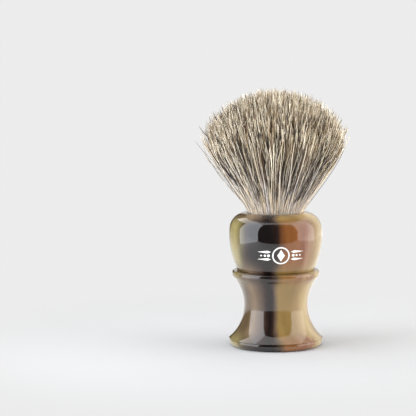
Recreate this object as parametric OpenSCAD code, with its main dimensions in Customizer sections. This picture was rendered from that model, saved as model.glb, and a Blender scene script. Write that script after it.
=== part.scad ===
// Shaving brush: a turned resin handle in a horn pattern, holding a bound fan of badger hair.
// Millimetres, +Z up. The origin is the centre of the foot's underside, and the printed
// side of the handle faces -Y.

/* [Handle] */
// Height of the handle, from the foot's underside to the mouth of the socket
handle_h = 52.8; // [52.4:0.1:54]
// Diameter of the foot
foot_d = 37; // [36.6:0.1:38]
// Height of the edge between the foot and the waist's flare
foot_edge_z = 3.1; // [2.6:0.1:3.4]
// Radius of the foot's rounded under-edge
foot_round = 2; // [1.7:0.1:2.4]
// Diameter of the waist at its narrowest
waist_d = 25.3; // [24.6:0.1:26.4]
// Height of the waist's narrowest point
waist_z = 16.1; // [15.6:0.1:16.6]
// Radius of the waist's hollow curve
waist_arc_r = 17.2; // [16.4:0.1:17.8]
// Diameter of the lip above the waist
lip_d = 34.4; // [34:0.1:35.4]
// Radius of the lip's two rounded corners
lip_round = 0.8; // [0.5:0.1:1]

/* [Bulb] */
// Greatest diameter of the bulb
bulb_d = 36.6; // [36:0.1:37.4]
// Height of the bulb's widest point
bulb_z = 43.9; // [43.4:0.1:44.4]
// Radius of the curve that the bulb's side follows
bulb_arc_r = 32.3; // [31:0.1:34]
// Height of the turned groove between the lip and the bulb
groove_z = 30.1; // [29.8:0.1:30.4]
// Width of the groove where it opens
groove_w = 0.5; // [0.3:0.1:0.6]
// Diameter at the bottom of the groove
groove_d = 30; // [29.6:0.1:30.4]
// Radius of the bulb's shoulder, beside the hair
shoulder_r = 6.9; // [6.5:0.1:7]

/* [Knot] */
// Diameter of the hair bundle where it leaves the handle
knot_d = 22; // [21.6:0.1:22.2]
// Diameter of the socket drilled for the knot
socket_d = 22.4; // [22.3:0.1:22.6]
// Depth of the socket
socket_depth = 16; // [15.5:0.1:18]
// Thickness of the adhesive under the knot
glue_t = 0.6; // [0.3:0.1:1]
// Depth of the adhesive's top edge below the mouth
glue_low = 2; // [1:0.1:3]
// Height of the cup that the knot is cast in
cup_h = 9; // [8:0.5:10]
// Wall thickness of the cup
cup_wall = 0.6; // [0.4:0.1:0.8]
// Height of the cast resin plug inside the cup
plug_h = 6; // [4:0.5:6.5]
// Thickness of the binding thread
thread_d = 0.6; // [0.4:0.1:0.6]
// Turns of binding thread round the hair roots
thread_turns = 6; // [3:1:6]

/* [Hair] */
// Free length of the hair, from the mouth to the top of the dome
loft = 50; // [48:0.5:52]
// Diameter of the hair at its widest
fan_d = 58.4; // [54:0.2:60]
// Height of the widest point above the mouth
fan_z = 28.3; // [27:0.1:30]
// Distance from the mouth over which the packed roots stay stiff
stiff_r = 18; // [17:0.5:18.5]
// Gap left between the stiff roots and the hair that bends
bend_gap = 0.2; // [0.1:0.05:0.3]

/* [Printed mark] */
// Width of the printed ornament
mark_w = 18; // [14:0.5:19]
// Height of the printed ornament's centre
mark_z = 37.8; // [35:0.1:38]
// Turn of the ornament about the handle's axis, in degrees
mark_turn = 4.6; // [0:0.1:10]
// Thickness of the ink
ink_t = 0.05; // [0.03:0.01:0.1]

/* [Hidden] */

$fn = 96;
// Steps round the large circle that the ink lies on
ink_fn = 720;
// Greatest distance between a true arc and the outline's straight steps
outline_tol = 0.005;
// Steps in each of the fan's two curves
fan_steps = 24;
// Clearance round pieces that are slipped into place
fit_gap = 0.05;
// Distance that a cutting shape runs past the piece it cuts
cut_over = 1;

foot_r = foot_d / 2;
lip_r = lip_d / 2;
bulb_r = bulb_d / 2;
knot_r = knot_d / 2;
socket_r = socket_d / 2;
fan_r = fan_d / 2;

// Centres, as radius and height, of the arcs that make the handle's outline
waist_c = [waist_d / 2 + waist_arc_r, waist_z];
bulb_c = [bulb_r - bulb_arc_r, bulb_z];
foot_c = [foot_r - foot_round, foot_round];
ledge_z = groove_z - groove_w / 2;
bulb_low_z = groove_z + groove_w / 2;

// The lip's lower corner is tangent to the waist's curve
lip_c_r = lip_r - lip_round;
lip_drop = sqrt(pow(waist_arc_r + lip_round, 2) - pow(waist_c[0] - lip_c_r, 2));
lip_c = [lip_c_r, waist_z + lip_drop];
// The shoulder is tangent to the bulb's side and to the level of the mouth
shoulder_z = handle_h - shoulder_r;
shoulder_reach = sqrt(pow(bulb_arc_r - shoulder_r, 2) - pow(shoulder_z - bulb_z, 2));
shoulder_c = [bulb_c[0] + shoulder_reach, shoulder_z];

// Angles at which those arcs start, end or touch
foot_end = asin((foot_edge_z - foot_round) / foot_round);
waist_start = 180 - asin((foot_edge_z - waist_z) / waist_arc_r);
lip_touch = atan2(waist_c[1] - lip_c[1], waist_c[0] - lip_c[0]);
bulb_start = asin((bulb_low_z - bulb_z) / bulb_arc_r);
shoulder_touch = atan2(shoulder_c[1] - bulb_c[1], shoulder_c[0] - bulb_c[0]);

// Heights inside the socket, from its floor upwards
socket_floor_z = handle_h - socket_depth;
cup_z = socket_floor_z + glue_t;
cup_top_z = cup_z + cup_h;
plug_z = cup_z + cup_wall;
plug_top_z = plug_z + plug_h;
cup_inner_r = knot_r - cup_wall;
thread_z = cup_top_z + 0.5 * thread_d;
thread_pitch = 0.9 * thread_d;
thread_c_r = knot_r - fit_gap - thread_d / 2;
thread_inner_r = thread_c_r - 0.3 * thread_d;
thread_top_z = thread_z + thread_pitch * (thread_turns + 1);

// Control points of the fan's side, from the mouth out to its widest point
fan_side = [[knot_r, 0], [knot_r + 0.2 * (fan_r - knot_r), 0.29 * fan_z],
            [fan_r - 1, 0.79 * fan_z], [fan_r, fan_z]];

// Points along the arc with centre c and radius r, from angle a to angle b. With skip = 1 the
// first point is left out, because the outline already has it.
function arc(c, r, a, b, skip = 0) =
    let (steps = ceil(abs(b - a) / (2 * acos(1 - outline_tol / r))))
    [for (i = [skip : steps]) c + r * [cos(a + (b - a) * i / steps), sin(a + (b - a) * i / steps)]];

// Point at t, from 0 to 1, on the cubic curve with the control points p
function curve(p, t) =
    pow(1 - t, 3) * p[0] + 3 * t * pow(1 - t, 2) * p[1] + 3 * t * t * (1 - t) * p[2] + pow(t, 3) * p[3];

// The bulb's side and shoulder, from the groove up to the mouth
function bulb_points() = concat(
    arc(bulb_c, bulb_arc_r, bulb_start, shoulder_touch),
    arc(shoulder_c, shoulder_r, shoulder_touch, 90, skip = 1));

// The whole outer profile of the handle, from the foot up to the mouth
function handle_points() = concat(
    arc(foot_c, foot_round, -90, foot_end),
    arc(waist_c, waist_arc_r, waist_start, 180 + lip_touch),
    arc(lip_c, lip_round, lip_touch, 0, skip = 1),
    arc([lip_c_r, ledge_z - lip_round], lip_round, 0, 90),
    [[groove_d / 2, groove_z]],
    bulb_points());

// The fan of hair, seen from the side: a flared side under a domed top
module fan_outline() {
    side = [for (i = [0 : fan_steps]) curve(fan_side, i / fan_steps)];
    dome = [for (i = [1 : fan_steps]) let (a = 90 * i / fan_steps)
        [fan_r * cos(a), fan_z + (loft - fan_z) * sin(a)]];
    translate([0, handle_h]) polygon(concat([[0, 0]], side, dome));
}

// Both arms of the ornament: on each side two tapering strokes with a row of dots between them
module ornament_arms(start, length, rise, weight) {
    dots = 3;
    for (side = [-1, 1]) {
        for (level = [-1, 1]) {
            translate([side * start, level * rise])
                polygon([[0, 0], [side * length / 4, weight], [side * length, 0],
                         [side * length / 4, -weight]]);
        }
        for (i = [0 : dots - 1]) {
            translate([side * (start + length * (i + 0.7) / (dots + 0.8)), 0])
                circle(r = weight * (1 - 0.2 * i));
        }
    }
}

// The ornament, drawn flat and centred on the origin: a ring round a lozenge, with two arms
module ornament() {
    ring_r = 0.19 * mark_w;
    weight = 0.03 * mark_w;
    lozenge_h = 0.68 * ring_r;
    lozenge_w = 0.44 * ring_r;
    difference() {
        circle(r = ring_r);
        circle(r = ring_r - weight);
    }
    polygon([[-lozenge_w, 0], [0, -lozenge_h], [lozenge_w, 0], [0, lozenge_h]]);
    ornament_arms(1.12 * ring_r, mark_w / 2 - 1.12 * ring_r, 0.43 * ring_r, weight);
}

// One turned casting: foot, waist, lip, groove and bulb, with the knot's socket drilled in it
module handle() {
    color("saddlebrown") difference() {
        rotate_extrude() polygon(concat([[0, 0]], handle_points(), [[0, handle_h]]));
        translate([0, 0, socket_floor_z]) cylinder(r = socket_r, h = socket_depth + cut_over);
    }
}

// White ink on the bulb, a thin skin that lies on the arc of the bulb's side
module printed_mark() {
    color("white") intersection() {
        rotate_extrude() intersection() {
            translate(bulb_c) difference() {
                circle(r = bulb_arc_r + ink_t, $fn = ink_fn);
                circle(r = bulb_arc_r, $fn = ink_fn);
            }
            translate([groove_d / 2, bulb_low_z]) square([bulb_r, bulb_z - bulb_low_z]);
        }
        rotate([0, 0, mark_turn]) translate([0, 0, mark_z]) rotate([90, 0, 0])
            linear_extrude(bulb_d) ornament();
    }
}

// Adhesive that covers the socket's floor and fills the gap round the knot
module socket_adhesive() {
    color("goldenrod") difference() {
        translate([0, 0, socket_floor_z]) cylinder(r = socket_r, h = socket_depth - glue_low);
        translate([0, 0, cup_z]) cylinder(r = knot_r, h = socket_depth);
    }
}

// Thin cup that holds the butt ends of the hair while the plug sets
module knot_cup() {
    color("dimgray") difference() {
        translate([0, 0, cup_z]) cylinder(r = knot_r, h = cup_h);
        translate([0, 0, plug_z]) cylinder(r = cup_inner_r, h = cup_h);
    }
}

// Resin cast round the butt ends, which locks every hair into the knot
module knot_plug() {
    color("peru") translate([0, 0, plug_z]) cylinder(r = cup_inner_r, h = plug_h);
}

// Thread wound tightly round the roots above the cup, its turns pressed together
module binding_thread() {
    color("ivory") rotate_extrude() difference() {
        for (i = [1 : thread_turns]) {
            translate([thread_c_r, thread_z + thread_pitch * i]) circle(d = thread_d);
        }
        square([thread_inner_r, handle_h]);
    }
}

// The packed, bonded root end of the hair, necked in under the thread
module hair_roots() {
    color("tan") union() {
        translate([0, 0, plug_top_z]) cylinder(r = cup_inner_r - fit_gap, h = cup_top_z - plug_top_z);
        translate([0, 0, cup_top_z]) cylinder(r = thread_inner_r - fit_gap, h = thread_top_z - cup_top_z);
        rotate_extrude() intersection() {
            union() {
                fan_outline();
                translate([0, thread_top_z]) square([knot_r - fit_gap, handle_h - thread_top_z]);
            }
            translate([0, handle_h]) circle(r = stiff_r - bend_gap);
        }
    }
}

// The free hair, which bends about the mouth of the handle
module bristle_tuft() {
    color("wheat") rotate_extrude() difference() {
        fan_outline();
        translate([0, handle_h]) circle(r = stiff_r);
    }
}

handle();
printed_mark();
socket_adhesive();
knot_cup();
knot_plug();
binding_thread();
hair_roots();
bristle_tuft();
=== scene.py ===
"""Looks of a shaving brush: a glossy turned resin handle in a horn pattern, and a fan of badger hair.

All sizes are in metres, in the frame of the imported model: +Z up, the printed side towards -Y.
"""

import math

import bpy
import numpy as np
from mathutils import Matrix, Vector


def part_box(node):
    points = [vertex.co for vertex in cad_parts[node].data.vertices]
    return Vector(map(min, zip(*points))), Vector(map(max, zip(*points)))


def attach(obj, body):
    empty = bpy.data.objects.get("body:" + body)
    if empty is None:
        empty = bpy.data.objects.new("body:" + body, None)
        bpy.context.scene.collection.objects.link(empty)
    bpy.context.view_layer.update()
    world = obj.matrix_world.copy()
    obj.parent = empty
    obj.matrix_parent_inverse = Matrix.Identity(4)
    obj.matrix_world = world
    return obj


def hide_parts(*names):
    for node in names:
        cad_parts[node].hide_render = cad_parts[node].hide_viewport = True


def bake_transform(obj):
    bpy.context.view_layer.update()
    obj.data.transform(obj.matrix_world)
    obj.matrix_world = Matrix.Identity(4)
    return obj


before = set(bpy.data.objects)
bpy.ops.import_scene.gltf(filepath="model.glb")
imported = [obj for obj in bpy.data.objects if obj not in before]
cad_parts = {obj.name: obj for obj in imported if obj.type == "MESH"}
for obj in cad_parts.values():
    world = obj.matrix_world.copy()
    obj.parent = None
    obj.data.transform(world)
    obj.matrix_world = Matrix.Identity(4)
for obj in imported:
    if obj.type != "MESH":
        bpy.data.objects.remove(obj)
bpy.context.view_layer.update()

MM = 0.001
SEED = 23
UV_LAYER = "OFBake"

# Places that the frame gives
HANDLE_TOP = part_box("handle")[1].z
KNOT_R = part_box("knot_cup")[1].x
CUP_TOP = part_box("knot_cup")[1].z
PLUG_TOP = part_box("knot_plug")[1].z
THREAD_LOW, THREAD_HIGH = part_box("binding_thread")
FAN_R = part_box("bristle_tuft")[1].x
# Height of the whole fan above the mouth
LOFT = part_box("bristle_tuft")[1].z - HANDLE_TOP


# ---------------------------------------------------------------- shader nodes

def srgb(red, green, blue):
    """A colour given as 0 to 255 screen values, as the linear colour that shaders take."""
    def linear(value):
        value /= 255
        return value / 12.92 if value <= 0.04045 else ((value + 0.055) / 1.055) ** 2.4
    return (linear(red), linear(green), linear(blue), 1.0)


def grey(value):
    """A linear grey."""
    return (value, value, value, 1)


def new_material(name):
    """A material with its node tree emptied down to one Principled shader and the output."""
    material = bpy.data.materials.new(name)
    material.use_nodes = True
    tree = material.node_tree
    tree.nodes.clear()
    shader = tree.nodes.new("ShaderNodeBsdfPrincipled")
    output = tree.nodes.new("ShaderNodeOutputMaterial")
    tree.links.new(shader.outputs["BSDF"], output.inputs["Surface"])
    return material, tree, shader


def feed(tree, socket, value):
    """Links value to socket if it is another socket, and otherwise sets it."""
    if isinstance(value, bpy.types.NodeSocket):
        tree.links.new(value, socket)
    else:
        socket.default_value = value


def calc(tree, operation, *operands):
    """The result of a maths node."""
    node = tree.nodes.new("ShaderNodeMath")
    node.operation = operation
    for socket, operand in zip(node.inputs, operands):
        feed(tree, socket, operand)
    return node.outputs[0]


def smooth_step(tree, value, low, high, start=0.0, end=1.0):
    """value mapped smoothly from low..high to start..end."""
    node = tree.nodes.new("ShaderNodeMapRange")
    node.interpolation_type = "SMOOTHSTEP"
    for name, given in (("Value", value), ("From Min", low), ("From Max", high),
                        ("To Min", start), ("To Max", end)):
        feed(tree, node.inputs[name], given)
    return node.outputs["Result"]


def mix(tree, factor, first, second, blend_type="MIX"):
    """Two colours mixed by factor."""
    node = tree.nodes.new("ShaderNodeMix")
    node.data_type = "RGBA"
    node.blend_type = blend_type
    feed(tree, node.inputs[0], factor)
    feed(tree, node.inputs[6], first)
    feed(tree, node.inputs[7], second)
    return node.outputs[2]


def ramp(tree, factor, stops):
    """A colour ramp; stops is a list of (position, colour)."""
    node = tree.nodes.new("ShaderNodeValToRGB")
    elements = node.color_ramp.elements
    while len(elements) > 1:
        elements.remove(elements[-1])
    elements[0].position, elements[0].color = stops[0]
    for position, colour in stops[1:]:
        elements.new(position).color = colour
    feed(tree, node.inputs[0], factor)
    return node.outputs["Color"]


# Values between which a noise texture mostly lies
NOISE_RANGE = (0.3, 0.7)


def stretched(tree, scale=(1, 1, 1)):
    """Object coordinates scaled by a vector."""
    coordinates = tree.nodes.new("ShaderNodeTexCoord")
    mapping = tree.nodes.new("ShaderNodeMapping")
    mapping.inputs["Scale"].default_value = scale
    tree.links.new(coordinates.outputs["Object"], mapping.inputs["Vector"])
    return mapping.outputs["Vector"]


def noise(tree, vector, scale, detail, roughness=0.5):
    """The value of a noise texture, mostly inside NOISE_RANGE."""
    node = tree.nodes.new("ShaderNodeTexNoise")
    feed(tree, node.inputs["Vector"], vector)
    node.inputs["Scale"].default_value = scale
    node.inputs["Detail"].default_value = detail
    node.inputs["Roughness"].default_value = roughness
    return node.outputs["Fac"]


def bump(tree, height, distance, strength=1.0):
    """A normal pushed about by height, at the given depth in metres."""
    node = tree.nodes.new("ShaderNodeBump")
    node.inputs["Strength"].default_value = strength
    node.inputs["Distance"].default_value = distance
    feed(tree, node.inputs["Height"], height)
    return node.outputs["Normal"]


def position_parts(tree):
    """Object-space y and z, and the radius and turn about the brush's axis.

    The turn is 0 to 1 round the brush: 0.5 at the printed side, more towards +X.
    """
    coordinates = tree.nodes.new("ShaderNodeTexCoord")
    parts = tree.nodes.new("ShaderNodeSeparateXYZ")
    tree.links.new(coordinates.outputs["Object"], parts.inputs[0])
    x, y, z = parts.outputs
    squares = calc(tree, "ADD", calc(tree, "MULTIPLY", x, x), calc(tree, "MULTIPLY", y, y))
    radius = calc(tree, "SQRT", squares)
    angle = calc(tree, "ARCTAN2", x, calc(tree, "MULTIPLY", y, -1.0))
    turn = calc(tree, "MULTIPLY_ADD", angle, 0.5 / math.pi, 0.5)
    return y, z, radius, turn


# ------------------------------------------------------------------ horn resin

# The pattern's colours, as screen values
NEAR_BLACK = srgb(22, 18, 17)
PITCH_BROWN = srgb(44, 31, 26)
SMOKE = srgb(86, 70, 58)
HAZEL = srgb(114, 95, 72)
UMBER = srgb(88, 72, 52)
OLIVE = srgb(138, 126, 84)
DIM_OLIVE = srgb(84, 76, 48)
GOLD = srgb(130, 106, 62)
TAN = srgb(148, 122, 82)
CREAM = srgb(174, 153, 110)
AMBER = srgb(124, 77, 41)
RUST = srgb(118, 68, 42)
ROSE = srgb(140, 106, 82)


def turn_at(degrees):
    """The turn, 0 to 1, of a direction in degrees from the printed side."""
    return 0.5 + degrees / 360


def turns(stops):
    """Ramp stops from (degrees from the printed side, colour) pairs."""
    return [(turn_at(degrees), colour) for degrees, colour in stops]


# Colours round the handle at the surface of the bulb
OUTER_HORN = turns([
    (-180, HAZEL), (-168, AMBER), (-154, NEAR_BLACK), (-140, AMBER), (-122, TAN), (-108, PITCH_BROWN),
    (-98, UMBER), (-86, DIM_OLIVE), (-76, OLIVE), (-62, OLIVE), (-52, DIM_OLIVE), (-44, PITCH_BROWN),
    (-34, NEAR_BLACK), (-6, NEAR_BLACK), (2, PITCH_BROWN), (12, AMBER), (29, AMBER), (36, RUST),
    (43, ROSE), (54, TAN), (70, CREAM), (84, HAZEL), (96, PITCH_BROWN), (110, NEAR_BLACK),
    (122, AMBER), (138, TAN), (154, PITCH_BROWN), (168, GOLD), (180, HAZEL)])
# Colours round the handle nearer to its axis, which the waist's cut uncovers
INNER_HORN = turns([
    (-180, GOLD), (-168, SMOKE), (-154, PITCH_BROWN), (-132, TAN), (-110, PITCH_BROWN), (-98, SMOKE),
    (-84, UMBER), (-60, UMBER), (-42, HAZEL), (-30, SMOKE), (-21, PITCH_BROWN), (-14, NEAR_BLACK),
    (-8, PITCH_BROWN), (-3, SMOKE), (4, GOLD), (26, GOLD), (42, TAN), (62, CREAM), (78, TAN),
    (90, SMOKE), (102, NEAR_BLACK), (114, HAZEL), (134, GOLD), (150, PITCH_BROWN), (164, SMOKE),
    (180, GOLD)])
# How far noise drives the colours round the handle, as shares of a turn
CLOUD_DRIFT = 0.06
STREAK_DRIFT = 0.018
# Distances from the axis between which the inner colours give way to the outer ones
OUTWARDS = (14.6 * MM, 17.8 * MM)
# Heights over which the outer colours fade in, up into the bulb, and fade out, up from the foot's edge;
# and how strong they are on the bulb, on the foot's edge and in between
BULB_RISE = (27 * MM, 34 * MM)
FOOT_EDGE = (1.5 * MM, 5 * MM)
ON_BULB, ON_FOOT, BETWEEN = 1.0, 0.85, 0.5
# Where the casting's layers fold: its directions in degrees, the softness of its sides outwards and
# inwards as shares of a turn, its depth, and the heights over which it fades out
FOLD_START, FOLD_END = turn_at(24), turn_at(56)
FOLD_OUT, FOLD_IN = 0.03, 0.02
FOLD_DEPTH = (15.5 * MM, 17.5 * MM)
FOLD_TOP = (28 * MM, 32 * MM)
FOLD_STRENGTH = 0.75
# Heights over which painted light makes the mouth's rim paler, and how much paler it grows
PAINTED_RIM_LIGHT_RISE = (49.5 * MM, 52.5 * MM)
PAINTED_RIM_LIGHT = 1.35
RESIN_IOR = 1.54


def rust_clouds(tree, z, radius, turn):
    """How rusty the horn is, 0 to 1: clouds at the front right of the lip and the foot."""
    side = calc(tree, "MULTIPLY",
                smooth_step(tree, turn, FOLD_START - FOLD_OUT, FOLD_START + FOLD_IN),
                smooth_step(tree, turn, FOLD_END - FOLD_IN, FOLD_END + FOLD_OUT, start=1.0, end=0.0))
    proud = calc(tree, "MULTIPLY", smooth_step(tree, radius, *FOLD_DEPTH),
                 smooth_step(tree, z, *FOLD_TOP, start=1.0, end=0.0))
    clouds = noise(tree, stretched(tree, (1, 1, 0.8)), scale=260, detail=2)
    fleck = calc(tree, "MULTIPLY", smooth_step(tree, clouds, 0.42, 0.62), FOLD_STRENGTH)
    return calc(tree, "MULTIPLY", calc(tree, "MULTIPLY", side, proud), fleck)


def horn_colour(tree, z, radius, turn):
    """The horn pattern: upright streaks whose colours change round the handle and with depth."""
    cloud = noise(tree, stretched(tree, (1, 1, 0.4)), scale=70, detail=3)
    streak = noise(tree, stretched(tree, (1, 1, 0.1)), scale=240, detail=3)
    drift = calc(tree, "MULTIPLY_ADD", calc(tree, "SUBTRACT", cloud, 0.5), CLOUD_DRIFT, turn)
    shifted = calc(tree, "MULTIPLY_ADD", calc(tree, "SUBTRACT", streak, 0.5), STREAK_DRIFT, drift)
    outside = calc(tree, "MAXIMUM", smooth_step(tree, z, *BULB_RISE, BETWEEN, ON_BULB),
                   smooth_step(tree, z, *FOOT_EDGE, ON_FOOT, BETWEEN))
    depth = calc(tree, "MULTIPLY", smooth_step(tree, radius, *OUTWARDS), outside)
    colour = mix(tree, depth, ramp(tree, shifted, INNER_HORN), ramp(tree, shifted, OUTER_HORN))
    colour = mix(tree, rust_clouds(tree, z, radius, turn), colour, RUST)
    # Painted light: the mouth's rim is made paler towards its top
    rim = smooth_step(tree, z, *PAINTED_RIM_LIGHT_RISE, 1.0, PAINTED_RIM_LIGHT)
    streak_tone_and_painted_rim_light = calc(tree, "MULTIPLY", smooth_step(tree, streak, *NOISE_RANGE, start=0.9, end=1.1), rim)
    return mix(tree, 1.0, colour, streak_tone_and_painted_rim_light, "MULTIPLY")


def horn_resin():
    """Polished cast resin, patterned through its whole depth, with faint turning marks."""
    material, tree, shader = new_material("horn_resin")
    _, z, radius, turn = position_parts(tree)
    feed(tree, shader.inputs["Base Color"], horn_colour(tree, z, radius, turn))
    shader.inputs["IOR"].default_value = RESIN_IOR
    smear = noise(tree, stretched(tree), scale=260, detail=3)
    feed(tree, shader.inputs["Roughness"], smooth_step(tree, smear, 0.35, 0.7, start=0.04, end=0.075))
    lathe = noise(tree, stretched(tree, (0.02, 0.02, 1)), scale=2200, detail=2)
    feed(tree, shader.inputs["Normal"], bump(tree, lathe, distance=0.003 * MM, strength=0.5))
    return material


# -------------------------------------------------------------- other materials

def white_ink():
    """Pad-printed ink: white, a little uneven where the pad lifted."""
    material, tree, shader = new_material("white_ink")
    patch = noise(tree, stretched(tree), scale=1800, detail=3)
    tone = smooth_step(tree, patch, *NOISE_RANGE)
    feed(tree, shader.inputs["Base Color"], mix(tree, tone, srgb(226, 224, 218), srgb(250, 249, 245)))
    shader.inputs["Roughness"].default_value = 0.42
    feed(tree, shader.inputs["Normal"], bump(tree, patch, distance=0.01 * MM))
    return material


# How many times finer the bubbles in cast resin are than its clouds
BUBBLE_FINENESS = 6


def cast_resin(name, light, dark, grain):
    """Cast or spread resin, clouded and with small bubbles."""
    material, tree, shader = new_material(name)
    cloud = noise(tree, stretched(tree), scale=grain, detail=4)
    bubbles = tree.nodes.new("ShaderNodeTexVoronoi")
    feed(tree, bubbles.inputs["Vector"], stretched(tree))
    bubbles.inputs["Scale"].default_value = grain * BUBBLE_FINENESS
    colour = mix(tree, smooth_step(tree, cloud, 0.35, 0.65), dark, light)
    feed(tree, shader.inputs["Base Color"], colour)
    feed(tree, shader.inputs["Roughness"], smooth_step(tree, cloud, *NOISE_RANGE, start=0.16, end=0.34))
    pits = smooth_step(tree, bubbles.outputs["Distance"], 0.0, 0.25)
    feed(tree, shader.inputs["Normal"], bump(tree, pits, distance=0.05 * MM))
    return material


def cup_plastic():
    """Dark moulded plastic with a fine sparked texture and faint flow lines."""
    material, tree, shader = new_material("cup_plastic")
    grain = noise(tree, stretched(tree), scale=3000, detail=3)
    flow = noise(tree, stretched(tree, (1, 1, 0.1)), scale=220, detail=2)
    tone = smooth_step(tree, flow, *NOISE_RANGE)
    feed(tree, shader.inputs["Base Color"], mix(tree, tone, srgb(38, 37, 36), srgb(58, 56, 54)))
    feed(tree, shader.inputs["Roughness"], smooth_step(tree, grain, *NOISE_RANGE, start=0.42, end=0.6))
    feed(tree, shader.inputs["Normal"], bump(tree, grain, distance=0.02 * MM))
    return material


def cotton_thread():
    """Waxed cotton, in twisted fibres."""
    material, tree, shader = new_material("cotton_thread")
    fibre = noise(tree, stretched(tree, (1, 1, 0.5)), scale=5200, detail=4, roughness=0.7)
    tone = smooth_step(tree, fibre, *NOISE_RANGE)
    feed(tree, shader.inputs["Base Color"], mix(tree, tone, srgb(188, 172, 140), srgb(232, 222, 196)))
    shader.inputs["Roughness"].default_value = 0.7
    feed(tree, shader.inputs["Normal"], bump(tree, fibre, distance=0.03 * MM))
    return material


# Tones that a hair can have, and the share of them that are pale all along; the rest have a dark band
TONES = 256
PALE_SHARE = 0.36
# Start and end of the dark band along a hair: the nearest to the root, what chance adds, the softness
BAND_START = (0.1, 0.26, 0.12)
BAND_END = (0.72, 0.42, 0.06)
# How strong the weakest dark bands are
WEAKEST_BAND = 0.8
# Seeds of the four random values of each hair, and the step between the seeds of two tones
HAIR_SEEDS = (3.1, 17.7, 40.3, 71.9)
TONE_STEP = 0.731
# Half the width, in the texture, of the change from pale to banded tones
TONE_EDGE = 0.001


def badger_hair():
    """Badger hair: pale roots, a dark band on most hairs, and tips from brownish to cream.

    The texture's U picks the hair's tone, and its V runs from root to tip.
    """
    material, tree, shader = new_material("badger_hair")
    layer = tree.nodes.new("ShaderNodeUVMap")
    layer.uv_map = UV_LAYER
    parts = tree.nodes.new("ShaderNodeSeparateXYZ")
    tree.links.new(layer.outputs["UV"], parts.inputs[0])
    across, along = parts.outputs[0], parts.outputs[1]
    column = calc(tree, "FLOOR", calc(tree, "MULTIPLY", across, TONES))

    def random_value(seed):
        node = tree.nodes.new("ShaderNodeTexWhiteNoise")
        node.noise_dimensions = "1D"
        feed(tree, node.inputs["W"], calc(tree, "MULTIPLY_ADD", column, TONE_STEP, seed))
        return node.outputs["Value"]

    def band_edge(value, earliest, chance, softness, before, after):
        place = calc(tree, "MULTIPLY_ADD", value, chance, earliest)
        return smooth_step(tree, along, place, calc(tree, "ADD", place, softness), before, after)

    first, second, third, fourth = (random_value(seed) for seed in HAIR_SEEDS)
    inside = calc(tree, "MULTIPLY", band_edge(first, *BAND_START, 0.0, 1.0),
                  band_edge(second, *BAND_END, 1.0, 0.0))
    banded = smooth_step(tree, across, PALE_SHARE - TONE_EDGE, PALE_SHARE + TONE_EDGE)
    depth = calc(tree, "MULTIPLY_ADD", third, 1 - WEAKEST_BAND, WEAKEST_BAND)
    strength = calc(tree, "MULTIPLY", banded, depth)
    band = calc(tree, "MULTIPLY", inside, strength)
    warm = mix(tree, first, srgb(206, 184, 148), srgb(234, 218, 190))
    cool = mix(tree, second, srgb(194, 185, 178), srgb(240, 233, 226))
    root = mix(tree, smooth_step(tree, fourth, 0.3, 0.55), warm, cool)
    tip = mix(tree, third, srgb(150, 126, 88), srgb(250, 240, 218))
    pale = mix(tree, smooth_step(tree, along, 0.35, 0.9), root, tip)
    dark = mix(tree, smooth_step(tree, fourth, 0.6, 1.0), srgb(18, 15, 15), srgb(104, 74, 50))
    feed(tree, shader.inputs["Base Color"], mix(tree, band, pale, dark))
    shader.inputs["Roughness"].default_value = 0.42
    return material


# ------------------------------------------------------------- paths of the hair

LOCKS = 7000
HAIRS_PER_LOCK = 2
STRAYS = 30
# The golden angle, in half turns: it spreads points evenly over a disc
GOLDEN = 3 - math.sqrt(5)
# Places of a strand's rings along its free length; only the last stretch tapers to a point
STEPS = np.append(np.linspace(0, 0.95, 7), 1.0)

# The fan's shape: height of its widest point as a share of the free length, and roundness of its
# dome, where 2 is an ellipse and less slopes the shoulders
WIDEST = 0.566
DOME = 1.8
# The hairs lean past their own places, so those places lie a little inside the fan's outline
INSET = 1.1 * MM
DOME_INSET = 0.7 * INSET
# Share of the knot's radius that the hair fills in the mouth
MOUTH_FILL = 0.99
# A hair's path is a cubic curve. Its lower control point stands at a share of the tip's height and of
# the way outwards; its upper one stands at a share of the height, and further in than the tip
LOWER_HEIGHT, LOWER_OUT = 0.29, 0.2
UPPER_HEIGHT, UPPER_IN = 0.79, 1 * MM

# Spread of the locks' places, as a share of the fan's radius and in radians
SHARE_JITTER, TURN_JITTER = 0.01, 0.02
# Unevenness of the locks' lengths, share of the locks that stop short, and how far short they stop
UNEVEN = 0.025
SHORT_LOCKS = 0.5
SHORTFALL = (0.03, 0.25)
# Locks are pulled into clumps, by up to this share of the way and mostly near their tips
CLUMPS = 300
MOST_PULL, PULL_POWER = 0.22, 1.5
# Spread of the locks' lean at their tips, and of the waves along locks and along single hairs
LEAN = 1.3 * MM
LOCK_WAVE, HAIR_WAVE = 0.5 * MM, 0.04 * MM
# Leans and waves are mostly sideways
SIDEWAYS = np.array([1, 1, 0.2])
# Least and most angle that a wave runs through along a hair, in radians, and the share of the hair
# over which it fades in
WAVE_ANGLE = (6, 13)
WAVE_FADE = 0.3
# Spread of the hairs of a lock, how they open out towards their tips, and how unevenly they end
HAIR_SPREAD = 0.06 * MM
OPENING = 0.7 + 0.7 * STEPS ** 2
HAIR_UNEVEN = 0.4 * MM
# Strays: their direction in radians, place in the fan, length, and outward bow in millimetres
STRAY_TURN, STRAY_SHARE = 0.4, 0.99
STRAY_REACH = (0.8, 1.0)
STRAY_BOW = (0.6, 2.4)


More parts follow.
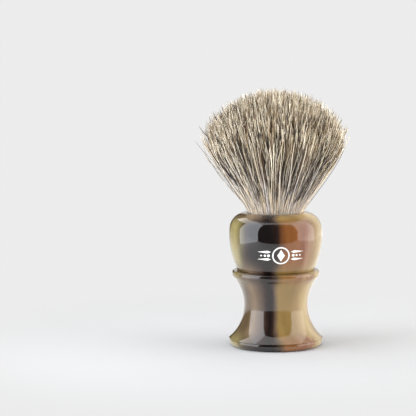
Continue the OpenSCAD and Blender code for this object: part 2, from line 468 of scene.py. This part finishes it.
def fan_path(share, turn, places, bow=0.0):
    """Points along hairs of the fan.

    share is each hair's distance from the axis, 0 to 1, and turn its angle. places holds a row
    for each hair, 0 at the mouth to 1 on the dome. bow bends the hair outwards.
    """
    dome = (1 - WIDEST) * LOFT - DOME_INSET
    tip_z = LOFT * WIDEST + dome * (1 - np.clip(share, 0, 1) ** DOME) ** (1 / DOME)
    root_r = KNOT_R * MOUTH_FILL * share
    tip_r = (FAN_R - INSET) * share
    radii = [root_r, root_r + LOWER_OUT * (tip_r - root_r), tip_r - UPPER_IN * share, tip_r]
    heights = [0 * tip_z, LOWER_HEIGHT * tip_z, UPPER_HEIGHT * tip_z, tip_z]
    t = places
    weights = [(1 - t) ** 3, 3 * t * (1 - t) ** 2, 3 * t * t * (1 - t), t ** 3]
    r = sum(w * p[:, None] for w, p in zip(weights, radii)) + bow * np.sin(np.pi * t)
    z = sum(w * p[:, None] for w, p in zip(weights, heights))
    return np.stack([r * np.sin(turn)[:, None], -r * np.cos(turn)[:, None], z + HANDLE_TOP], axis=2)


def spiral(count):
    """Even positions over a disc of radius 1, as radius and angle."""
    order = np.arange(count)
    return np.sqrt((order + 0.5) / count), order * np.pi * GOLDEN


def on_disc(share, turn):
    """Flat places from radius and angle."""
    return np.stack([share * np.cos(turn), share * np.sin(turn)], axis=1)


def lock_centres(rng):
    """Centre lines of the locks, and each lock's distance from the axis as a share of the fan."""
    share, turn = spiral(LOCKS)
    share = np.clip(share + rng.normal(0, SHARE_JITTER, LOCKS), 0, 1)
    turn = turn + rng.normal(0, TURN_JITTER, LOCKS)
    clump_share, clump_turn = spiral(CLUMPS)
    apart = on_disc(share, turn)[:, None, :] - on_disc(clump_share, clump_turn)[None, :, :]
    clump = (apart ** 2).sum(axis=2).argmin(axis=1)

    short = rng.random(LOCKS) < SHORT_LOCKS
    reach = 1 - np.abs(rng.normal(0, UNEVEN, LOCKS)) - short * rng.uniform(*SHORTFALL, LOCKS)
    places = reach[:, None] * STEPS
    pull = rng.random(CLUMPS)[clump] * rng.uniform(0.0, MOST_PULL, LOCKS)
    pull = (pull[:, None] * STEPS ** PULL_POWER)[:, :, None]
    centres = fan_path(share, turn, places) * (1 - pull)
    centres += fan_path(clump_share[clump], clump_turn[clump], places) * pull

    # Each lock leans its own way, so the hairs cross each other at small angles
    lean = rng.normal(0, LEAN, (LOCKS, 3)) * SIDEWAYS
    centres += lean[:, None, :] * STEPS[None, :, None]
    return centres + waves(rng, LOCKS, LOCK_WAVE), share


def waves(rng, count, size):
    """Gentle waves along hairs, fading out at the roots, so that hairs pass behind one another."""
    phase = rng.random((count, 1)) * 2 * np.pi
    sway = np.sin(phase + STEPS[None, :] * rng.uniform(*WAVE_ANGLE, (count, 1)))
    fade = np.clip(STEPS / WAVE_FADE, 0, 1)
    return (sway * fade)[:, :, None] * rng.normal(0, size, (count, 3))[:, None, :] * SIDEWAYS


def hair_centres(rng):
    """Centre lines of all hairs, each hair's lock, and each lock's share of the fan's radius."""
    centres, share = lock_centres(rng)
    lock = np.repeat(np.arange(LOCKS), HAIRS_PER_LOCK)
    count = len(lock)
    spread = rng.normal(0, HAIR_SPREAD, (count, 3))[:, None, :] * OPENING[None, :, None]
    hairs = centres[lock] + spread
    # The hairs of a lock end at slightly different lengths
    direction = hairs[:, -1] - hairs[:, 0]
    direction /= np.linalg.norm(direction, axis=1, keepdims=True)
    shorter = np.abs(rng.normal(0, HAIR_UNEVEN, count))
    hairs -= direction[:, None, :] * shorter[:, None, None] * STEPS[None, :, None]
    return hairs + waves(rng, count, HAIR_WAVE), lock, share


def stray_centres(rng):
    """A few long hairs that bow out of the fan's side."""
    turn = np.arange(STRAYS) * np.pi * GOLDEN + STRAY_TURN
    places = rng.uniform(*STRAY_REACH, STRAYS)[:, None] * STEPS
    bow = rng.uniform(*STRAY_BOW, STRAYS)[:, None] * MM
    return fan_path(np.full(STRAYS, STRAY_SHARE), turn, places, bow)


# ------------------------------------------------------------ strands of the hair

PIECES = 4
SIDES = 3
# Smallest and largest distance of a strand's edges from its centre line, in millimetres
HAIR_R = (0.10, 0.14)
# Thickness along a strand, as (place, share of the full thickness)
THICKNESS = ((0, 0.6), (0.1, 0.7), (0.35, 1.0), (0.8, 1.0), (1.0, 0.3))
# Below the mouth each hair drops straight into the resin plug, squeezed in under the thread: the
# heights of its two rings there, and how far in they stand
SUNK_RINGS = ((PLUG_TOP - 0.5 * MM, 0.91), (CUP_TOP + 2 * MM, 0.9))
# Places along the whole strand of those rings, of the mouth, and the share above the mouth
SUNK_PLACES = (0.0, 0.03)
MOUTH_PLACE, FREE_SHARE = 0.06, 0.93
# Keeps clear of both sides of a tone's column in the texture
MARGIN = 0.2
# Share of the fan's radius beyond which pale locks are commoner, and the chances there and inside; fewer
# pale locks inside partly paint in shade deep in the fan
OUTER_SHARE = 0.86
PALE_OUTSIDE, PALE_IN_PAINTED_SHADE = 0.44, 0.32
# Share of the hairs whose tone differs from their lock's
ODD_HAIRS = 0.15
# Keeps the sideways direction of a hair on the axis from being zero
TINY = 1e-9


def strand_points(centres, radii):
    """Vertices of each strand: rings of corners round its centre line, and one point at its tip."""
    count = len(centres)
    tangent = np.gradient(centres, axis=1)
    tangent /= np.linalg.norm(tangent, axis=2, keepdims=True)
    middle = centres.mean(axis=1)
    across = np.stack([-middle[:, 1], middle[:, 0], np.zeros(count)], axis=1) + TINY
    first = across[:, None, :] - (across[:, None, :] * tangent).sum(axis=2, keepdims=True) * tangent
    first /= np.linalg.norm(first, axis=2, keepdims=True)
    second = np.cross(tangent, first)
    angles = np.arange(SIDES) * 2 * np.pi / SIDES
    ring = (np.cos(angles)[None, None, :, None] * first[:, :, None, :]
            + np.sin(angles)[None, None, :, None] * second[:, :, None, :])
    body = centres[:, :-1, None, :] + ring[:, :-1] * radii[:, :-1, None, None]
    return np.concatenate([body.reshape(count, -1, 3), centres[:, -1:, :]], axis=1)


def strand_faces(places):
    """One strand's faces, and for each of their corners its place round and along the strand."""
    faces, around, along = [], [], []
    for level in range(len(places) - 2):
        for side in range(SIDES):
            low, high = level * SIDES + side, level * SIDES + (side + 1) % SIDES
            faces.append((low, high, high + SIDES, low + SIDES))
            around += [side, side + 1, side + 1, side]
            along += [places[level], places[level], places[level + 1], places[level + 1]]
    last = (len(places) - 2) * SIDES
    for side in range(SIDES):
        faces.append((last + side, last + (side + 1) % SIDES, last + SIDES))
        around += [side, side + 1, side + 0.5]
        along += [places[-2], places[-2], places[-1]]
    faces.append(tuple(range(SIDES - 1, -1, -1)))
    around += range(SIDES)
    along += [places[0]] * SIDES
    return faces, np.array(around), np.array(along)


def hair_mesh(name, centres, places, radii, columns):
    """One object of closed, tapered strands. columns picks each strand's tone."""
    points = strand_points(centres, radii)
    faces, around, along = strand_faces(places)
    count, per_strand = points.shape[:2]
    corners = (np.concatenate(faces)[None, :] + (np.arange(count) * per_strand)[:, None]).ravel()
    sizes = np.tile([len(face) for face in faces], count)
    starts = np.concatenate([[0], np.cumsum(sizes)[:-1]])
    mesh = bpy.data.meshes.new(name)
    mesh.vertices.add(count * per_strand)
    mesh.vertices.foreach_set("co", points.astype(np.float32).ravel())
    mesh.loops.add(len(corners))
    mesh.loops.foreach_set("vertex_index", corners.astype(np.int32))
    mesh.polygons.add(len(sizes))
    mesh.polygons.foreach_set("loop_start", starts.astype(np.int32))
    mesh.polygons.foreach_set("use_smooth", np.ones(len(sizes), bool))
    layer = mesh.uv_layers.new(name=UV_LAYER)
    u = (columns[:, None] + MARGIN + (1 - 2 * MARGIN) * around[None, :] / SIDES) / TONES
    v = np.broadcast_to(along[None, :], u.shape)
    layer.data.foreach_set("uv", np.stack([u, v], axis=2).astype(np.float32).ravel())
    mesh.update()
    mesh.validate()
    made = bpy.data.objects.new(name, mesh)
    bpy.context.scene.collection.objects.link(made)
    return made


def hair_tones(rng, lock, share):
    """A tone for each hair: a lock's hairs mostly match, and pale locks are commoner outside, so that the
    darker inside paints in shade deep in the fan.
    """
    pale_tones = int(PALE_SHARE * TONES)
    pale = rng.random(LOCKS) < np.where(share > OUTER_SHARE, PALE_OUTSIDE, PALE_IN_PAINTED_SHADE)
    tone = np.where(pale, rng.integers(0, pale_tones, LOCKS), rng.integers(pale_tones, TONES, LOCKS))
    odd = rng.random(len(lock)) < ODD_HAIRS
    return np.where(odd, rng.integers(0, TONES, len(lock)), tone[lock])


def with_sunk_rings(centres):
    """The centre lines, lengthened downwards from the mouth into the resin plug."""
    sunk = []
    for height, squeeze in SUNK_RINGS:
        low = centres[:, 0, :].copy()
        low[:, :2] *= squeeze
        low[:, 2] = height
        sunk.append(low[:, None, :])
    return np.concatenate(sunk + [centres], axis=1)


def build_hair(material):
    """The whole bundle: every strand runs from the plug, through the mouth, to the fan's dome."""
    rng = np.random.default_rng(SEED)
    centres, lock, share = hair_centres(rng)
    columns = hair_tones(rng, lock, share)
    centres = with_sunk_rings(np.concatenate([centres, stray_centres(rng)]))
    columns = np.concatenate([columns, rng.integers(0, TONES, STRAYS)])
    count = len(centres)
    places = np.concatenate([SUNK_PLACES, MOUTH_PLACE + FREE_SHARE * STEPS])
    swell = np.interp(places, *zip(*THICKNESS))
    radii = rng.uniform(*HAIR_R, count)[:, None] * MM * swell[None, :]

    pieces = []
    group = rng.permutation(count) % PIECES
    for index in range(PIECES):
        mine = group == index
        piece = hair_mesh(f"badger_hair_{index + 1}", centres[mine], places, radii[mine], columns[mine])
        piece.data.materials.append(material)
        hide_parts("hair_roots", "bristle_tuft")
        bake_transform(piece)
        pieces.append(piece)
    return pieces


# ---------------------------------------------------------------------- thread

THREAD_TURNS = 6
THREAD_PLIES = 3
PLY_R = 0.15 * MM
PLY_SIDES = 8
# For each turn of the thread: steps of its centre line, and twists of its plies
TURN_STEPS, TURN_TWISTS = 120, 30


def tube(centres, radius, sides):
    """Points and faces of a closed round tube along a centre line."""
    tangent = np.gradient(centres, axis=0)
    tangent /= np.linalg.norm(tangent, axis=1, keepdims=True)
    first = np.cross(tangent, (0, 0, 1))
    first /= np.linalg.norm(first, axis=1, keepdims=True)
    second = np.cross(tangent, first)
    angles = np.arange(sides) * 2 * np.pi / sides
    points = (centres[:, None, :] + radius * (np.cos(angles)[None, :, None] * first[:, None, :]
                                             + np.sin(angles)[None, :, None] * second[:, None, :]))
    last = (len(centres) - 1) * sides
    faces = []
    for ring in range(0, last, sides):
        for side in range(sides):
            after = (side + 1) % sides
            faces.append((ring + side, ring + after, ring + sides + after, ring + sides + side))
    faces += [tuple(range(sides - 1, -1, -1)), tuple(range(last, last + sides))]
    return points.reshape(-1, 3), faces


def build_thread(material):
    """Three-ply yarn wound round the roots, each turn pressed against the one below."""
    yarn_r = 2 * PLY_R
    winding_r = THREAD_HIGH.x - yarn_r
    t = np.linspace(0, THREAD_TURNS, THREAD_TURNS * TURN_STEPS + 1)
    low, high = THREAD_LOW.z + yarn_r, THREAD_HIGH.z - yarn_r
    height = low + (high - low) * t / THREAD_TURNS
    vertices, faces = [], []
    for ply in range(THREAD_PLIES):
        twist = 2 * np.pi * (t * TURN_TWISTS + ply / THREAD_PLIES)
        r = winding_r + PLY_R * np.cos(twist)
        centres = np.stack([r * np.cos(2 * np.pi * t), r * np.sin(2 * np.pi * t),
                            height + PLY_R * np.sin(twist)], axis=1)
        points, quads = tube(centres, PLY_R, PLY_SIDES)
        start = sum(len(v) for v in vertices)
        vertices.append(points)
        faces += [tuple(start + corner for corner in face) for face in quads]
    mesh = bpy.data.meshes.new("wound_thread")
    mesh.from_pydata(np.concatenate(vertices).tolist(), [], faces)
    mesh.polygons.foreach_set("use_smooth", [True] * len(mesh.polygons))
    mesh.materials.append(material)
    piece = bpy.data.objects.new("wound_thread", mesh)
    bpy.context.scene.collection.objects.link(piece)
    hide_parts("binding_thread")
    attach(piece, "handle")


# -------------------------------------------------------------------- CAD pieces

def dress(node, material):
    """Gives a CAD node's object one material."""
    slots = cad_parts[node].data.materials
    slots.clear()
    slots.append(material)


# Vertices closer than this are one vertex
WELD = 0.001 * MM


def smooth_turned(node, crease_degrees):
    """Shades a turned CAD piece as one smooth surface, crisp only at edges sharper than the crease."""
    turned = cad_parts[node]
    weld = turned.modifiers.new("weld", "WELD")
    weld.merge_threshold = WELD
    split = turned.modifiers.new("crisp_edges", "EDGE_SPLIT")
    split.split_angle = math.radians(crease_degrees)


# ------------------------------------------------------------------------ lights

# The light tent round the brush: open at the front, where the camera stands
TENT_LEFT, TENT_RIGHT = -0.20, 0.256
TENT_FRONT, TENT_BACK = -0.20, 0.30
TENT_TOP = 0.40
# Places from front to back where each side wall changes, and the height of the left one's eaves
LEFT_SPLIT, RIGHT_SPLIT = 0.03, 0.07
EAVES = 0.20
# Gap at the left of the back wall
BACK_GAP = 0.16
# A light above the camera, and two lights for the hair: centre, direction, width and height
FRONT_FILL = ((0, -0.75, 0.34), (0, 0.75, -0.27), 0.7, 0.5)
HAIR_RIGHT = ((TENT_RIGHT, -0.12, 0.12), (-1, 0.3, 0), 0.4, 0.3)
HAIR_TOP = ((0, 0, TENT_TOP), (0, 0, -1), 0.4, 0.4)
# How brightly each light's surface shines
RADIANCE = {
    "left_wall": 4.2, "left_eaves": 3.4, "right_wall": 3.0, "right_rear": 1.2, "roof": 2.0,
    "back_wall": 0.9, "front_fill": 2.2, "hair_right": 3.6, "hair_top": 3.2}
WHITE = (1, 1, 1)
# Tint of the left wall, a little bluer than the rest
COOL = (0.95, 0.985, 1.05)


def area_light(name, centre, facing, width, height, colour=WHITE):
    """A rectangular light, unseen by the camera."""
    data = bpy.data.lights.new(name, "AREA")
    data.shape = "RECTANGLE"
    data.size, data.size_y = width, height
    data.energy = math.pi * width * height * RADIANCE[name]
    data.color = colour
    light = bpy.data.objects.new(name, data)
    light.location = centre
    light.rotation_mode = "QUATERNION"
    light.rotation_quaternion = Vector(facing).to_track_quat("-Z", "Y")
    light.visible_camera = False
    bpy.context.scene.collection.objects.link(light)
    return light


def side_wall(name, x, front, back, bottom=0.0, colour=WHITE):
    """Part of a side wall of the tent, facing inwards, up to the roof."""
    centre = (x, (front + back) / 2, (bottom + TENT_TOP) / 2)
    area_light(name, centre, (-x, 0, 0), back - front, TENT_TOP - bottom, colour)


def light_tent():
    """White walls and roof that light the brush, with a dark gap at the front."""
    side_wall("left_wall", TENT_LEFT, TENT_FRONT, LEFT_SPLIT, colour=COOL)
    side_wall("left_eaves", TENT_LEFT, LEFT_SPLIT, TENT_BACK, bottom=EAVES)
    side_wall("right_wall", TENT_RIGHT, TENT_FRONT, RIGHT_SPLIT)
    side_wall("right_rear", TENT_RIGHT, RIGHT_SPLIT, TENT_BACK)
    width = TENT_RIGHT - TENT_LEFT
    middle_x = (TENT_LEFT + TENT_RIGHT) / 2
    middle_y = (TENT_BACK + TENT_FRONT) / 2
    area_light("roof", (middle_x, middle_y, TENT_TOP), (0, 0, -1), width, TENT_BACK - TENT_FRONT)
    area_light("back_wall", (middle_x + BACK_GAP / 2, TENT_BACK, TENT_TOP / 2), (0, -1, 0),
               width - BACK_GAP, TENT_TOP)
    # Reflections leave out this soft light from above the camera
    fill = area_light("front_fill", *FRONT_FILL)
    fill.visible_glossy = False


def hair_lights(hair):
    """Lights that only the hair receives: the fan is lit alike on both sides, and most on its dome."""
    lit = bpy.data.collections.new("hair_lit")
    for piece in hair:
        lit.objects.link(piece)
    for light in (area_light("hair_right", *HAIR_RIGHT), area_light("hair_top", *HAIR_TOP)):
        light.light_linking.receiver_collection = lit


# -------------------------------------------------------------- floor and camera

# How bright the background and the far floor look, and how dark the world is to all but the camera
PALE = grey(0.84)
GLOOM = grey(0.02)
FLOOR_R, FLOOR_STEPS = 4.0, 96
# The floor's tones for the camera, its tone for other rays, and the painted shade that reflections see on
# its front part
CARD_TONES = (grey(0.5), grey(0.512))
CARD = grey(0.84)
PAINTED_FRONT_SHADE = grey(0.01)
# Distances from the brush over which the floor fades into the background
FADE = (0.035, 0.15)

# The camera stands a little above the brush and left of it, with a long lens. Its tilt down, its roll
# about its own line of sight and its angle of view are in degrees, its sensor's width in millimetres
CAMERA_PLACE = (-0.02655, -0.772, 0.1442)
CAMERA_TILT, CAMERA_ROLL = 6.63, -0.43
VIEW_ANGLE = 12
SENSOR = 36


def floor_card():
    """Matt white card. The camera sees it fade into the background, and reflections see painted shade on
    its front edge.
    """
    material, tree, shader = new_material("floor")
    y, _, away, _ = position_parts(tree)
    rays = tree.nodes.new("ShaderNodeLightPath")
    seen = rays.outputs["Is Camera Ray"]
    fibre = noise(tree, stretched(tree), scale=900, detail=2)
    near = mix(tree, smooth_step(tree, fibre, *NOISE_RANGE), *CARD_TONES)
    feed(tree, shader.inputs["Base Color"], mix(tree, seen, CARD, near))
    shader.inputs["Roughness"].default_value = 0.9
    shader.inputs["Specular IOR Level"].default_value = 0.1
    output = next(n for n in tree.nodes if n.type == "OUTPUT_MATERIAL")

    def over(factor, below, colour):
        glow = tree.nodes.new("ShaderNodeEmission")
        glow.inputs["Color"].default_value = colour
        blend = tree.nodes.new("ShaderNodeMixShader")
        feed(tree, blend.inputs[0], factor)
        tree.links.new(below, blend.inputs[1])
        tree.links.new(glow.outputs[0], blend.inputs[2])
        return blend.outputs[0]

    far = calc(tree, "MULTIPLY", smooth_step(tree, away, *FADE), seen)
    # Painted shade: in reflections the floor in front of the tent is almost black
    front = calc(tree, "MULTIPLY", calc(tree, "LESS_THAN", y, TENT_FRONT), rays.outputs["Is Glossy Ray"])
    faded = over(far, shader.outputs[0], PALE)
    tree.links.new(over(front, faded, PAINTED_FRONT_SHADE), output.inputs["Surface"])
    return material


def pale_world():
    """A plain background, pale to the camera and almost black to everything else."""
    world = bpy.data.worlds.new("studio")
    bpy.context.scene.world = world
    world.use_nodes = True
    tree = world.node_tree
    tree.nodes.clear()
    background = tree.nodes.new("ShaderNodeBackground")
    rays = tree.nodes.new("ShaderNodeLightPath")
    output = tree.nodes.new("ShaderNodeOutputWorld")
    feed(tree, background.inputs["Color"], mix(tree, rays.outputs["Is Camera Ray"], GLOOM, PALE))
    tree.links.new(background.outputs[0], output.inputs["Surface"])


def pale_floor():
    """A plain round floor."""
    angles = [2 * math.pi * step / FLOOR_STEPS for step in range(FLOOR_STEPS)]
    rim = [(FLOOR_R * math.cos(angle), FLOOR_R * math.sin(angle), 0) for angle in angles]
    mesh = bpy.data.meshes.new("floor")
    mesh.from_pydata(rim, [], [tuple(range(FLOOR_STEPS))])
    floor = bpy.data.objects.new("floor", mesh)
    bpy.context.scene.collection.objects.link(floor)
    mesh.materials.append(floor_card())


def camera():
    """The camera, at the photo's angle."""
    data = bpy.data.cameras.new("camera")
    data.sensor_width = SENSOR
    data.lens = SENSOR / (2 * math.tan(math.radians(VIEW_ANGLE) / 2))
    made = bpy.data.objects.new("camera", data)
    made.location = CAMERA_PLACE
    made.rotation_mode = "ZYX"
    made.rotation_euler = (math.radians(90 - CAMERA_TILT), 0, math.radians(CAMERA_ROLL))
    bpy.context.scene.collection.objects.link(made)
    bpy.context.scene.camera = made
    bpy.context.scene.view_settings.view_transform = "Standard"


# --------------------------------------------------------------------- the scene

smooth_turned("handle", crease_degrees=24)
dress("handle", horn_resin())
dress("printed_mark", white_ink())
dress("socket_adhesive", cast_resin("amber_adhesive", srgb(222, 184, 112), srgb(186, 140, 72), grain=300))
dress("knot_cup", cup_plastic())
dress("knot_plug", cast_resin("plug_resin", srgb(170, 124, 70), srgb(112, 74, 40), grain=180))
build_thread(cotton_thread())
hair = build_hair(badger_hair())
light_tent()
hair_lights(hair)
pale_world()
pale_floor()
camera()
